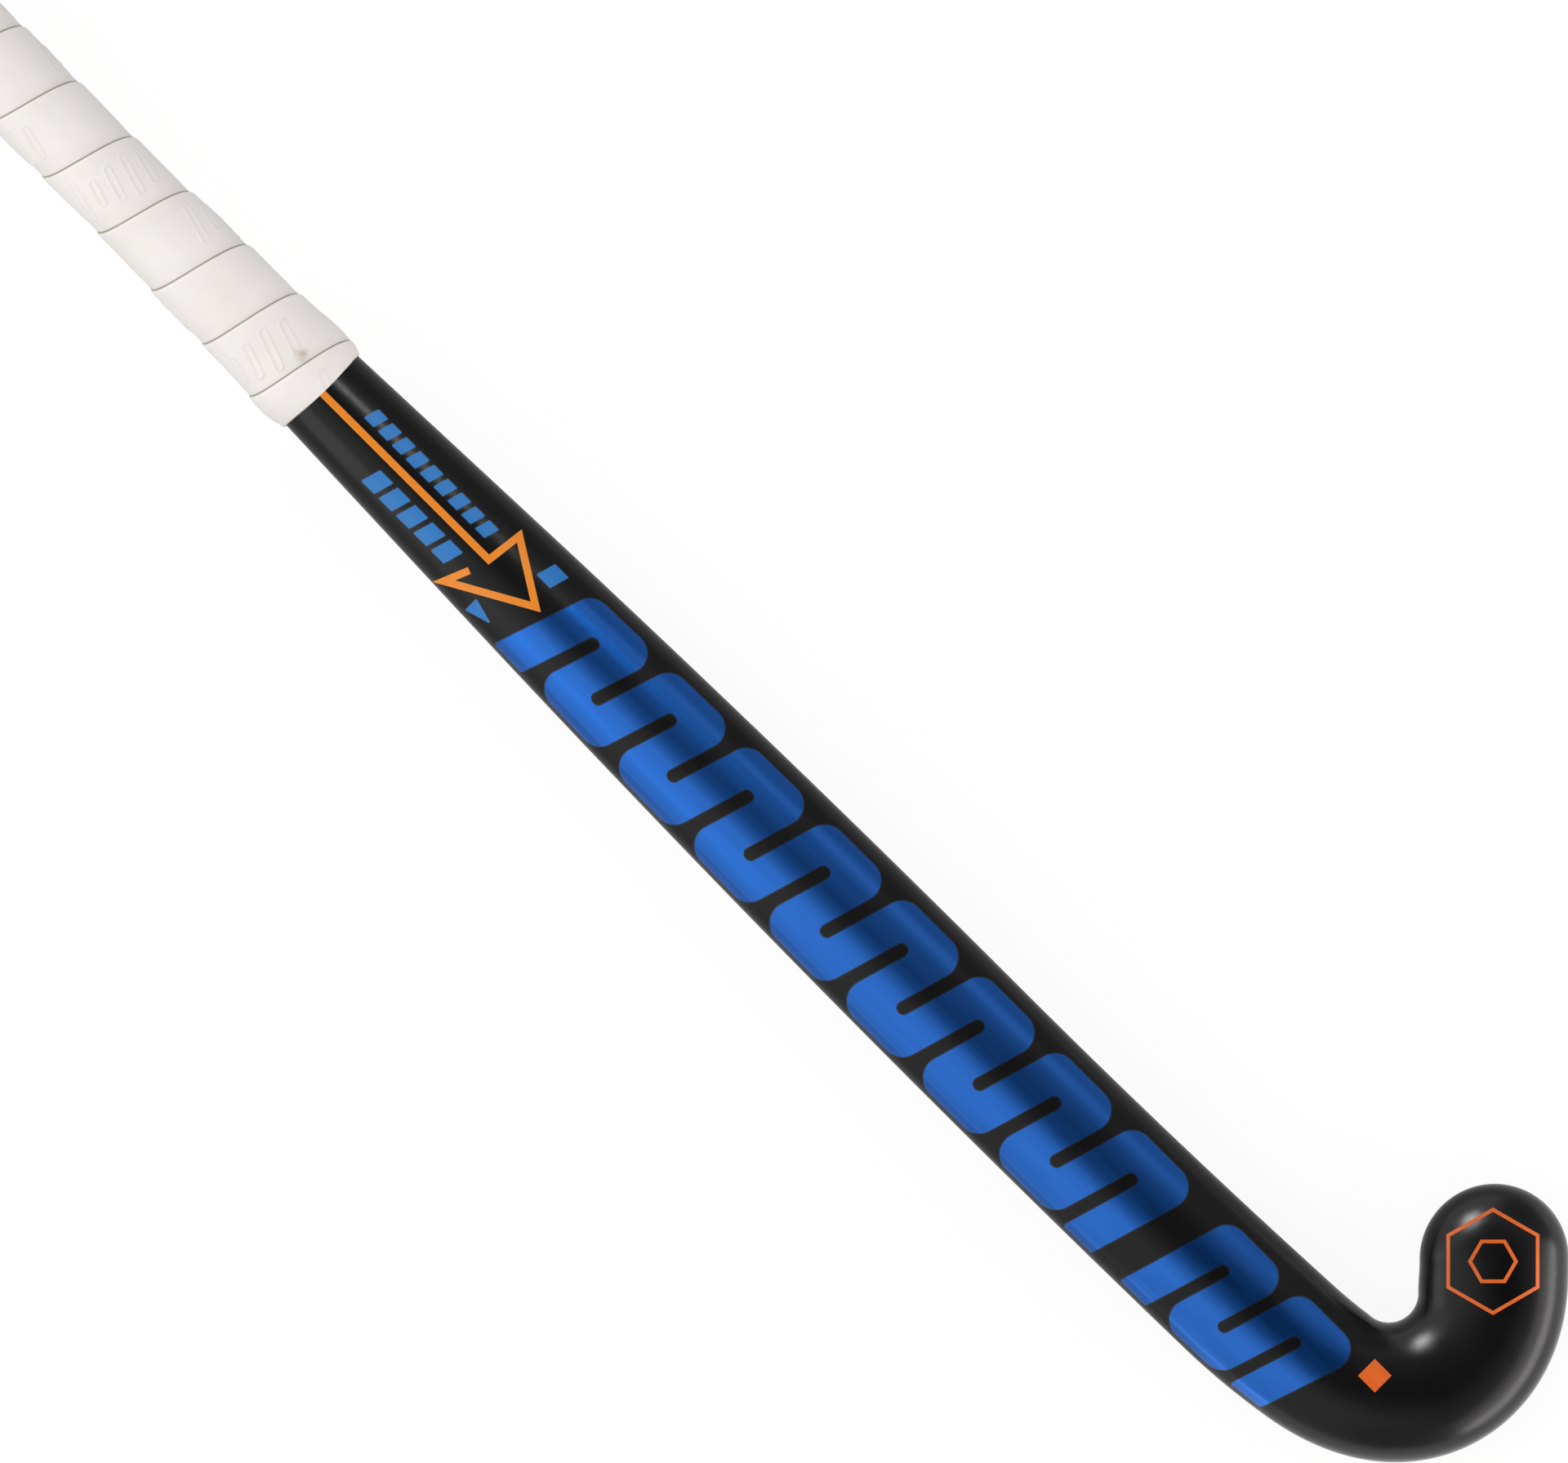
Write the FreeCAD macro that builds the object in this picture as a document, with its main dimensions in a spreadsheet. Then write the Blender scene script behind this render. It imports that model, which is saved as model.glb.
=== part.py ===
import FreeCAD, Part
import math
import os
import Sketcher

Vector = FreeCAD.Vector

# A field hockey stick, lying face down: +X runs to the head, +Y to the toe side and +Z out of the rounded back.
# Every station is a distance back from the tip of the head, in mm, measured along X.

doc = FreeCAD.newDocument("field_hockey_stick")
sheet = doc.addObject("Spreadsheet::Sheet", "dims")

DIMENSIONS = [
    # name, value, what it is
    ("total_length", 927.0, "tip of the head to the end of the cap"),
    ("head_pitch_deg", 8.21, "slope of the flat head face"),
    ("bow_start", 95.0, "station where the flat face ends and the bow starts"),
    ("bow_end", 276.0, "station where the bow ends and the straight handle starts"),
    ("handle_pitch_deg", 2.06, "slope of the straight handle"),
    ("shaft_width", 46.0, "widest plain shaft"),
    ("handle_width", 26.2, "bare handle, across"),
    ("taper_rate", 0.0755, "loss of width per mm of taper"),
    ("taper_start", 319.0, "middle of the round-in to the taper"),
    ("taper_start_ease", 110.0, "half length of that round-in"),
    ("taper_end_ease", 30.0, "half length of the round-out at the handle"),
    ("head_depth", 21.5, "front to back in the head"),
    ("shaft_depth", 20.6, "front to back in the lower shaft"),
    ("handle_depth", 25.4, "front to back in the handle"),
    ("head_flat_share", 0.79, "flat face as a share of the width"),
    ("handle_flat_share", 0.2, "the same in the handle"),
    ("head_edge_height", 5.6, "height of the widest line above the face"),
    ("handle_edge_height", 12.7, "the same in the handle"),
    ("back_fullness", 0.76, "conic weight of the rounded back, 0.707 is an ellipse"),
    ("edge_start", 210.0, "station where both edges start to lean to the toe"),
    ("heel_lean", 0.000087, "heel edge lean, per mm"),
    ("heel_turn_start", 90.0, "station where the heel turn starts"),
    ("heel_turn", 0.002, "heel turn, per mm"),
    ("toe_lean", 0.00018, "toe edge lean, per mm"),
    ("throat_blend_start", 70.0, "station where the toe edge bends into the throat"),
    ("throat_blend", 0.0032, "that bend, per mm"),
    ("throat_station", 56.0, "station of the throat's centre"),
    ("throat_offset", 37.3, "toe-side offset of the throat's centre"),
    ("throat_radius", 9.4, "inner radius of the hook"),
    ("hook_radius", 55.9, "outer radius of the hook, straight ahead"),
    ("hook_end_deg", 46.0, "direction of the last ray of the hook"),
    ("toe_straight", 10.7, "length from the last ray to the round toe"),
    ("toe_swell", 0.45, "gain of the outer edge over that length"),
    ("toe_draw", 0.6, "drawing in of the inner edge over that length"),
    ("wall", 2.4, "thickness of the laminate"),
    ("face_layer", 1.2, "thickness of the added layer behind the face"),
    ("face_layer_end", 118.0, "station where that layer ends"),
    ("core_end", 150.0, "station where the head core ends"),
    ("tube_wall", 0.9, "wall of each chamber tube"),
    ("plug_length", 62.0, "length of the plug in the open handle"),
    ("cap_thickness", 6.0, "end cap over the handle end"),
    ("cap_radius", 14.6, "end cap, outer radius"),
    ("cap_fillet", 3.2, "rounding of the cap's outer rim"),
    ("cap_stem_radius", 5.0, "stem of the cap"),
    ("cap_stem_length", 26.0, "stem of the cap"),
    ("cap_dimple_radius", 4.0, "shallow dimple in the cap"),
    ("cap_dimple_depth", 0.8, "shallow dimple in the cap"),
    ("grip_start", 501.9, "station of the lower end of the grip"),
    ("cushion_start", 506.5, "station of the lower end of the cushion"),
    ("cushion_thickness", 0.8, "cushion under the grip tape"),
    ("tape_thickness", 1.0, "grip tape"),
    ("ring_swell", 0.75, "swelling of the cushion at its lower end"),
    ("step_swell", 0.4, "second, softer swelling further up"),
    ("step_station", 560.0, "station of that swelling"),
]
for row, (name, value, meaning) in enumerate(DIMENSIONS, start=1):
    sheet.set("A%d" % row, name)
    sheet.set("B%d" % row, str(value))
    sheet.set("C%d" % row, meaning)
    sheet.setAlias("B%d" % row, name)
doc.recompute()


def dim(name):
    """The value of one named cell of the sheet."""
    return float(sheet.get(name))


HEAD_PITCH = math.radians(dim("head_pitch_deg"))
HANDLE_PITCH = math.radians(dim("handle_pitch_deg"))
HANDLE_END = dim("total_length") - dim("cap_thickness")
QUARTER_WEIGHT = math.sqrt(0.5)
SKIM = 0.1


# ---- form of the stick -------------------------------------------------------------------


def smooth(value, low, high):
    """0 below low, 1 above high, with a smooth rise between."""
    share = min(max((value - low) / (high - low), 0.0), 1.0)
    return share * share * (3.0 - 2.0 * share)


def ramp(value, ease):
    """0 far below zero and the value itself far above it, joined by a parabola."""
    if value <= -ease:
        return 0.0
    if value >= ease:
        return value
    return (value + ease) ** 2 / (4.0 * ease)


def face_line(station):
    """Height and slope angle of the face line: flat head, one arc of bow, straight handle."""
    start, end = dim("bow_start"), dim("bow_end")
    if station <= start:
        return station * math.tan(HEAD_PITCH), HEAD_PITCH
    radius = (end - start) / (math.sin(HEAD_PITCH) + math.sin(HANDLE_PITCH))
    angle = math.asin(math.sin(HEAD_PITCH) - (min(station, end) - start) / radius)
    height = start * math.tan(HEAD_PITCH) + radius * (math.cos(angle) - math.cos(HEAD_PITCH))
    if station > end:
        height -= (station - end) * math.tan(HANDLE_PITCH)
    return height, angle


def edges(station):
    """Offsets of the heel edge and the toe edge of the shaft at a station."""
    rate = dim("taper_rate")
    taper_length = (dim("shaft_width") - dim("handle_width")) / rate
    past = station - dim("taper_start")
    narrowing = ramp(past, dim("taper_start_ease")) - ramp(past - taper_length, dim("taper_end_ease"))
    half = 0.5 * (dim("shaft_width") - rate * narrowing)
    lean = max(dim("edge_start") - station, 0.0) ** 2
    turn = max(dim("heel_turn_start") - station, 0.0) ** 2
    heel = -half + dim("heel_lean") * lean + dim("heel_turn") * turn
    blend = max(dim("throat_blend_start") - station, 0.0) ** 2
    toe = half + dim("toe_lean") * lean + dim("throat_blend") * blend
    return heel, toe


def hook_radius(ray):
    """Outer radius of the hook along a ray from the throat, in radians from straight ahead."""
    return dim("hook_radius") + 1.27 * ray - 0.83 * ray ** 2 + 1.10 * ray ** 3 + 1.37 * ray ** 4


def profile_sizes(station):
    """Depth, share of flat and height of the widest line at a station."""
    thinning = smooth(station, dim("bow_start"), 200.0)
    thickening = smooth(station, 300.0, 560.0)
    rounding = smooth(station, 300.0, 575.0)
    depth = dim("head_depth") + (dim("shaft_depth") - dim("head_depth")) * thinning
    depth += (dim("handle_depth") - dim("shaft_depth")) * thickening
    share = dim("head_flat_share") + (dim("handle_flat_share") - dim("head_flat_share")) * rounding
    height = dim("head_edge_height") + (dim("handle_edge_height") - dim("head_edge_height")) * rounding
    return depth, share, height


# ---- sections ----------------------------------------------------------------------------


class Section:
    """One D-shaped section: a middle point on the face, a sideways direction and a normal."""

    def __init__(self, heel, toe, pitch, station):
        self.middle = (heel + toe) * 0.5
        self.across = (toe - heel).normalize()
        self.normal = Vector(math.sin(pitch), 0, math.cos(pitch))
        self.half = heel.distanceToPoint(toe) * 0.5
        self.depth, self.share, self.height = profile_sizes(station)
        self.skim = SKIM * (1.0 - smooth(station, dim("bow_start") - 25.0, dim("bow_start")))

    def point(self, sideways, up):
        return self.middle + self.across * sideways + self.normal * up

    def quarter(self, start, corner, end, weight):
        """A conic quarter from start to end that leaves each along its side of the corner."""
        curve = Part.BSplineCurve()
        poles = [self.point(*start), self.point(*corner), self.point(*end)]
        curve.buildFromPolesMultsKnots(poles, [3, 3], [0.0, 1.0], False, 2, [1.0, weight, 1.0])
        return curve.toShape()

    def outline(self, inset):
        """Edges from the face's middle, round the toe side, to the crest, and the mirror set."""
        half = self.half - inset
        flat = self.half * self.share - 0.35 * inset
        low = inset if inset else -self.skim
        top = self.depth - inset
        full = dim("back_fullness")
        sides = []
        for side in (1.0, -1.0):
            corner = self.quarter((side * flat, low), (side * half, low), (side * half, self.height), QUARTER_WEIGHT)
            back = self.quarter((side * half, self.height), (side * half, top), (0.0, top), full)
            sides.append((corner, back))
        return flat, low, top, sides

    def wire(self, inset=0.0):
        """The closed section, moved in by the inset."""
        flat, low, top, sides = self.outline(inset)
        face = Part.makeLine(self.point(-flat, low), self.point(flat, low))
        (toe_corner, toe_back), (heel_corner, heel_back) = sides
        return Part.Wire([face, toe_corner, toe_back, heel_back, heel_corner])

    def half_wire(self, inset=0.0):
        """The toe half of the section, closed along its middle."""
        flat, low, top, sides = self.outline(inset)
        corner, back = sides[0]
        face = Part.makeLine(self.point(0.0, low), self.point(flat, low))
        middle = Part.makeLine(self.point(0.0, top), self.point(0.0, low))
        return Part.Wire([face, corner, back, middle])


def shaft_section(station):
    """A section across the shaft."""
    heel, toe = edges(station)
    height, pitch = face_line(station)
    return Section(Vector(-station, heel, height), Vector(-station, toe, height), pitch, station)


def face_point(x, y):
    """The point of the flat head face above a plan position."""
    return Vector(x, y, -x * math.tan(HEAD_PITCH))


def hook_section(ray, along=0.0):
    """A section along a ray from the throat, moved on square to the ray by a distance."""
    direction = Vector(math.cos(ray), math.sin(ray), 0)
    onward = Vector(-math.sin(ray), math.cos(ray), 0) * along
    throat = Vector(-dim("throat_station"), dim("throat_offset"), 0) + onward
    share = along / dim("toe_straight")
    swell = dim("toe_swell") * (2.0 - share) * share
    draw = dim("toe_draw") * smooth(share, 0.0, 1.0)
    inner = throat + direction * (dim("throat_radius") + draw)
    outer = throat + direction * (hook_radius(ray) + swell)
    return Section(face_point(outer.x, outer.y), face_point(inner.x, inner.y), HEAD_PITCH, 0.0)


def spread(first, last, count):
    """Evenly spaced values from first to last."""
    return [first + (last - first) * k / (count - 1) for k in range(count)]


def stick_sections():
    """All sections from the handle end to where the round toe starts."""
    stations = spread(HANDLE_END, dim("bow_end"), 34)[:-1]
    stations += spread(dim("bow_end"), dim("bow_start"), 13) + [84.0, 76.0, 69.0, 62.0]
    rays = spread(-0.5 * math.pi, math.radians(dim("hook_end_deg")), 18)
    straight = spread(0.0, dim("toe_straight"), 4)[1:]
    found = [shaft_section(station) for station in stations]
    found += [hook_section(ray) for ray in rays]
    found += [hook_section(rays[-1], along) for along in straight]
    return found


SECTIONS = stick_sections()


def stick_solid(inset=0.0):
    """The whole stick as one solid, moved in by the inset."""
    shaft = Part.makeLoft([each.wire(inset) for each in SECTIONS], True, False)
    last = SECTIONS[-1]
    half = Part.Face(last.half_wire(inset))
    toe = half.revolve(last.middle, last.normal, -180.0)
    return shaft.fuse(toe)


def block(x_low, x_high, y_low, y_high, z_low, z_high):
    """A plain box between limits."""
    box = Part.makeBox(x_high - x_low, y_high - y_low, z_high - z_low)
    box.translate(Vector(x_low, y_low, z_low))
    return box


def head_slab(low, high, end_station):
    """A box on the pitched face plane between two heights, from past the tip to a station."""
    length = end_station / math.cos(HEAD_PITCH)
    slab = block(-length, 40.0, -80.0, 150.0, low, high)
    slab.rotate(Vector(0, 0, 0), Vector(0, 1, 0), math.degrees(HEAD_PITCH))
    return slab


def between(solid, near, far):
    """The part of a solid between two stations."""
    return solid.common(block(-far, -near, -120.0, 160.0, -80.0, 120.0))


def one_solid(shape, name):
    """The single solid of a result, or an error that names it."""
    if len(shape.Solids) != 1:
        raise RuntimeError("%s has %d solids" % (name, len(shape.Solids)))
    return shape.Solids[0]


# ---- laminate and what it holds ----------------------------------------------------------

outer = stick_solid().cut(head_slab(-30.0, 0.0, dim("bow_start")))
outer = one_solid(outer, "outer")
cavity = one_solid(stick_solid(dim("wall")), "cavity")
inner = one_solid(stick_solid(dim("wall") + dim("tube_wall")), "inner")

laminate = outer.cut(cavity)

face_top = dim("wall") + dim("face_layer")
face_layer = between(cavity.common(head_slab(0.0, face_top, dim("face_layer_end"))), -40.0, dim("face_layer_end"))
head_core = between(cavity, -40.0, dim("core_end")).cut(face_layer)

plug_start = HANDLE_END - dim("plug_length")
tube_space = between(cavity, dim("core_end"), plug_start)
tube_void = between(inner, dim("core_end") + dim("tube_wall"), plug_start + 10.0)
toe_side = block(-HANDLE_END, 0.0, 0.0, 100.0, -80.0, 120.0)
heel_side = block(-HANDLE_END, 0.0, -100.0, 0.0, -80.0, 120.0)
toe_void = block(-HANDLE_END, 0.0, dim("tube_wall"), 100.0, -80.0, 120.0)
heel_void = block(-HANDLE_END, 0.0, -100.0, -dim("tube_wall"), -80.0, 120.0)
toe_tube = tube_space.common(toe_side).cut(tube_void.common(toe_void))
heel_tube = tube_space.common(heel_side).cut(tube_void.common(heel_void))

end_height, end_pitch = face_line(HANDLE_END)
handle_axis = Vector(-math.cos(end_pitch), 0, math.sin(end_pitch))
end_section = shaft_section(HANDLE_END)
end_middle = end_section.point(0.0, 0.5 * end_section.depth)
stem_hole = Part.makeCylinder(
    dim("cap_stem_radius"), dim("cap_stem_length"), end_middle - handle_axis * dim("cap_stem_length"), handle_axis
)
butt_plug = between(cavity, plug_start, HANDLE_END + 40.0).cut(stem_hole)

# ---- grip --------------------------------------------------------------------------------


def swelling(station):
    """Extra radius of the cushion: a ring at its lower end and a softer step further up."""
    ring = 1.0 - smooth(station, dim("cushion_start") + 6.0, dim("cushion_start") + 20.0)
    step = math.exp(-(((station - dim("step_station")) / 16.0) ** 2))
    return dim("ring_swell") * ring + dim("step_swell") * step


def grown_wire(station, growth):
    """The section of the handle moved out by a growth."""
    return shaft_section(station).wire(-growth)


def sleeve_loft(stations, growths):
    """A solid over the handle, grown by a given amount at each station."""
    wires = [grown_wire(station, growth) for station, growth in zip(stations, growths)]
    return Part.makeLoft(wires, True, False)


def widening(first, last, step, ratio, longest):
    """Stations from first to last whose spacing grows smoothly up to a longest step."""
    found = [first]
    while found[-1] + 1.5 * step < last:
        found.append(found[-1] + step)
        step = min(step * ratio, longest)
    return found + [last]


cushion_stations = widening(dim("cushion_start"), HANDLE_END, 1.5, 1.15, 9.0)
cushion_growths = []
for station in cushion_stations:
    lip = math.sqrt(min((station - dim("cushion_start")) / 6.0 + 0.04, 1.0))
    cushion_growths.append((dim("cushion_thickness") + swelling(station)) * lip)
cushion_form = sleeve_loft(cushion_stations, cushion_growths)
cushion = cushion_form.cut(outer)

tape_stations = widening(dim("grip_start"), HANDLE_END, 1.5, 1.15, 9.0)
tape_growths = []
for station in tape_stations:
    lip = math.sqrt(min((station - dim("grip_start")) / 8.0 + 0.03, 1.0))
    tape_growths.append(dim("tape_thickness") * lip + (dim("cushion_thickness") + swelling(station)) * lip)
tape = sleeve_loft(tape_stations, tape_growths).cut(outer).cut(cushion_form)

# ---- end cap, as a body ------------------------------------------------------------------


def origin_plane(body, role):
    """One of a body's own origin planes."""
    return next(each for each in body.Origin.OriginFeatures if each.Role == role)


def circle_sketch(body, name, radius_alias, height=0.0):
    """A circle about the body's axis, with its radius bound to the sheet."""
    sketch = body.newObject("Sketcher::SketchObject", name)
    sketch.AttachmentSupport = [(origin_plane(body, "XY_Plane"), "")]
    sketch.MapMode = "FlatFace"
    sketch.AttachmentOffset = FreeCAD.Placement(Vector(0, 0, height), FreeCAD.Rotation())
    circle = sketch.addGeometry(Part.Circle(Vector(0, 0, 0), Vector(0, 0, 1), dim(radius_alias)), False)
    sketch.addConstraint(Sketcher.Constraint("Coincident", circle, 3, -1, 1))
    radius = sketch.addConstraint(Sketcher.Constraint("Radius", circle, dim(radius_alias)))
    sketch.setExpression("Constraints[%d]" % radius, "dims.%s" % radius_alias)
    return sketch


cap = doc.addObject("PartDesign::Body", "end_cap")
flange_sketch = circle_sketch(cap, "cap_flange_outline", "cap_radius")
flange = cap.newObject("PartDesign::Pad", "cap_flange")
flange.Profile = flange_sketch
flange.setExpression("Length", "dims.cap_thickness")
doc.recompute()

stem_sketch = circle_sketch(cap, "cap_stem_outline", "cap_stem_radius")
stem = cap.newObject("PartDesign::Pad", "cap_stem")
stem.Profile = stem_sketch
stem.Reversed = True
stem.setExpression("Length", "dims.cap_stem_length")
doc.recompute()

dimple_sketch = circle_sketch(cap, "cap_dimple_outline", "cap_dimple_radius")
dimple_sketch.setExpression("AttachmentOffset.Base.z", "dims.cap_thickness")
dimple = cap.newObject("PartDesign::Pocket", "cap_dimple")
dimple.Profile = dimple_sketch
dimple.setExpression("Length", "dims.cap_dimple_depth")
doc.recompute()

rim = cap.newObject("PartDesign::Fillet", "cap_rim")
rim_edges = []
for number, edge in enumerate(dimple.Shape.Edges, start=1):
    at_top = abs(edge.BoundBox.ZMin - dim("cap_thickness")) < 1e-6 and edge.BoundBox.ZLength < 1e-6
    if at_top and abs(edge.BoundBox.XMax - dim("cap_radius")) < 1e-6:
        rim_edges.append("Edge%d" % number)
rim.Base = (dimple, rim_edges)
rim.setExpression("Radius", "dims.cap_fillet")
cap.Tip = rim
doc.recompute()

# ---- place everything in the frame -------------------------------------------------------

# The stick rests on the tip of the head and the end of the grip: the whole is turned about Y until both
# are level, then moved so that the origin is under the middle of its box.


def surface_points(shape, placement):
    """Points of a fine mesh of a shape, moved by a placement."""
    return [placement.multVec(each) for each in shape.tessellate(0.02)[0]]


cap_placement = FreeCAD.Placement(end_middle, FreeCAD.Rotation(Vector(0, 0, 1), handle_axis))
unmoved = FreeCAD.Placement()
cap_form = rim.Shape.copy()
cap_form.Placement = unmoved
points = surface_points(outer, unmoved) + surface_points(tape, unmoved) + surface_points(cap_form, cap_placement)
tip = min((each for each in points if each.x > -60.0), key=lambda each: each.z)
butt = min((each for each in points if each.x < 60.0 - HANDLE_END), key=lambda each: each.z)
level_angle = math.degrees(math.atan2(butt.z - tip.z, tip.x - butt.x))
level = FreeCAD.Placement(Vector(0, 0, 0), FreeCAD.Rotation(Vector(0, 1, 0), -level_angle))
turned = [level.multVec(each) for each in points]


def middle(values):
    """Half way between the lowest and the highest of some values."""
    values = list(values)
    return 0.5 * (min(values) + max(values))


middle_x = middle(each.x for each in turned)
middle_y = middle(each.y for each in turned)
floor_z = min(each.z for each in turned)
ROW = FreeCAD.Placement(Vector(-middle_x, -middle_y, -floor_z), level.Rotation)
cap.Placement = ROW.multiply(cap_placement)
cap.Label = "end_cap"

LOFTED = [
    ("laminate_shell", laminate),
    ("face_reinforcement", face_layer),
    ("head_core", head_core),
    ("chamber_tube_toe_side", toe_tube),
    ("chamber_tube_heel_side", heel_tube),
    ("butt_plug", butt_plug),
    ("cushion_wrap", cushion),
    ("grip_tape", tape),
]
nodes = [cap]
for name, shape in LOFTED:
    feature = doc.addObject("Part::Feature", name)
    feature.Shape = one_solid(shape, name)
    feature.Placement = ROW
    feature.Label = name
    nodes.append(feature)
doc.recompute()

for each in doc.Objects:
    if "Invalid" in each.State or "Error" in each.State:
        raise RuntimeError("%s is in state %s" % (each.Name, each.State))
for node in nodes:
    if node.Shape.isNull() or not node.Shape.isValid():
        raise RuntimeError("%s has no valid shape" % node.Label)

os.makedirs("parts", exist_ok=True)
for node in nodes:
    node.Shape.exportStep("parts/%s.step" % node.Label)
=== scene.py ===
import math

import bpy
import numpy as np
from mathutils import Matrix, Vector
from mathutils.geometry import delaunay_2d_cdt

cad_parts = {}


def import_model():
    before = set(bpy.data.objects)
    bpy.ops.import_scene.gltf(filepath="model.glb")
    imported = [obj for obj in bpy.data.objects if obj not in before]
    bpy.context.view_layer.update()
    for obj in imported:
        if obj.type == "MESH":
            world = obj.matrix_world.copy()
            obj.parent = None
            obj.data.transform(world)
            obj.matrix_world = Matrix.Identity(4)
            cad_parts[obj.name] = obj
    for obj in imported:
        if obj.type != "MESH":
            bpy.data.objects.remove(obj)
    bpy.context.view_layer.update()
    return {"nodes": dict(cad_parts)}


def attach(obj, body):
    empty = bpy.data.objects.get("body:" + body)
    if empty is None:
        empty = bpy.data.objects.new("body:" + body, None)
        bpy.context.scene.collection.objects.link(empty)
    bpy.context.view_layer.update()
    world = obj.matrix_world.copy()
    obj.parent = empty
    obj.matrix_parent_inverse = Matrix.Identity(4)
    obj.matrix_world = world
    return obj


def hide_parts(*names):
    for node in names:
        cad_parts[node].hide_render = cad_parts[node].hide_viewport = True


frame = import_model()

# ---------------------------------------------------------------- form of the stick, in mm
# These are part.py's driving sizes. x runs to the head with 0 at its tip, y to the toe side and z out of
# the back. A station is a distance back from the tip.

HEAD_PITCH, HANDLE_PITCH = math.radians(8.21), math.radians(2.06)
BOW_START, BOW_END = 95.0, 276.0
HANDLE_END = 921.0
SHAFT_WIDTH, HANDLE_WIDTH = 46.0, 26.2
TAPER_RATE, TAPER_START, TAPER_START_EASE, TAPER_END_EASE = 0.0755, 319.0, 110.0, 30.0
EDGE_START, HEEL_LEAN, TOE_LEAN = 210.0, 0.000087, 0.00018
HEEL_TURN_START, HEEL_TURN = 90.0, 0.002
THROAT_BLEND_START, THROAT_BLEND = 70.0, 0.0032
THROAT = np.array([-56.0, 37.3])
THROAT_RADIUS = 9.4
HOOK_RADIUS = (55.9, 1.27, -0.83, 1.10, 1.37)  # straight ahead, and its gain with each power of the ray
HOOK_END = math.radians(46.0)
TOE_STRAIGHT, TOE_SWELL, TOE_DRAW = 10.7, 0.45, 0.6
HEAD_DEPTH, SHAFT_DEPTH, HANDLE_DEPTH = 21.5, 20.6, 25.4
HEAD_FLAT, HANDLE_FLAT = 0.79, 0.2  # the flat face as a share of the width
HEAD_EDGE, HANDLE_EDGE = 5.6, 12.7  # height of the widest line over the face
THIN_END, THICK_START, THICK_END, ROUND_END = 200.0, 300.0, 560.0, 575.0
BACK_FULLNESS, QUARTER_WEIGHT = 0.76, math.sqrt(0.5)  # conic weights of the back and of the face's corners
FLAT_GAIN = 0.35  # how much of a growth goes into the flat's half width

# part.py's turn and move out of the stick's own axes, which lay it level and centred in the frame
LEVEL = math.radians(0.14681870)
ORIGIN = np.array([463.471926, -35.140367, -0.596073])

# points of half a profile: on the flat, on the corner and on the back
PLAIN_STEPS, WOUND_STEPS = (4, 12, 40), (4, 10, 72)


def smooth(value, low, high):
    """A smooth rise from 0 at low to 1 at high."""
    share = np.clip((np.asarray(value, float) - low) / (high - low), 0.0, 1.0)
    return share * share * (3.0 - 2.0 * share)


def ramp(value, ease):
    """0 below -ease, the value itself above ease, and a parabola between them."""
    value = np.asarray(value, float)
    middle = (np.clip(value, -ease, ease) + ease) ** 2 / (4.0 * ease)
    return np.where(value >= ease, value, middle)


def face_line(station):
    """Height and slope angle of the face line."""
    station = np.asarray(station, float)
    radius = (BOW_END - BOW_START) / (math.sin(HEAD_PITCH) + math.sin(HANDLE_PITCH))
    angle = np.arcsin(math.sin(HEAD_PITCH) - (np.clip(station, BOW_START, BOW_END) - BOW_START) / radius)
    height = np.minimum(station, BOW_START) * math.tan(HEAD_PITCH)
    height = height + radius * (np.cos(angle) - math.cos(HEAD_PITCH))
    return height - np.maximum(station - BOW_END, 0.0) * math.tan(HANDLE_PITCH), angle


def edges(station):
    """Heel and toe offsets of the shaft."""
    station = np.asarray(station, float)
    past = station - TAPER_START
    length = (SHAFT_WIDTH - HANDLE_WIDTH) / TAPER_RATE
    narrowing = ramp(past, TAPER_START_EASE) - ramp(past - length, TAPER_END_EASE)
    half = 0.5 * (SHAFT_WIDTH - TAPER_RATE * narrowing)
    lean = np.maximum(EDGE_START - station, 0.0) ** 2
    heel = -half + HEEL_LEAN * lean + HEEL_TURN * np.maximum(HEEL_TURN_START - station, 0.0) ** 2
    toe = half + TOE_LEAN * lean + THROAT_BLEND * np.maximum(THROAT_BLEND_START - station, 0.0) ** 2
    return heel, toe


def hook_radius(ray):
    """Outer radius of the hook along a ray from the throat, in radians from straight ahead."""
    return sum(gain * ray ** power for power, gain in enumerate(HOOK_RADIUS))


def profile_sizes(station):
    """Depth, flat share and height of the widest line."""
    depth = HEAD_DEPTH + (SHAFT_DEPTH - HEAD_DEPTH) * smooth(station, BOW_START, THIN_END)
    depth = depth + (HANDLE_DEPTH - SHAFT_DEPTH) * smooth(station, THICK_START, THICK_END)
    rounding = smooth(station, THICK_START, ROUND_END)
    share = HEAD_FLAT + (HANDLE_FLAT - HEAD_FLAT) * rounding
    return depth, share, HEAD_EDGE + (HANDLE_EDGE - HEAD_EDGE) * rounding


def conic(share, weight):
    """Fractions out and up of a conic quarter, from its side (0) to its top (1)."""
    out, mid, up = (1 - share) ** 2, 2 * weight * share * (1 - share), share ** 2
    total = out + mid + up
    return (out + mid) / total, (mid + up) / total


def turn_level(vectors):
    """Directions in the stick's own axes, turned into the frame."""
    x, y, z = np.moveaxis(np.asarray(vectors, float), -1, 0)
    cos, sin = math.cos(LEVEL), math.sin(LEVEL)
    return np.stack([x * cos + z * sin, y, -x * sin + z * cos], -1)


def to_row(points):
    """Points in mm in the stick's own axes, in metres in the frame."""
    return (turn_level(points) + ORIGIN) * 0.001


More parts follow.
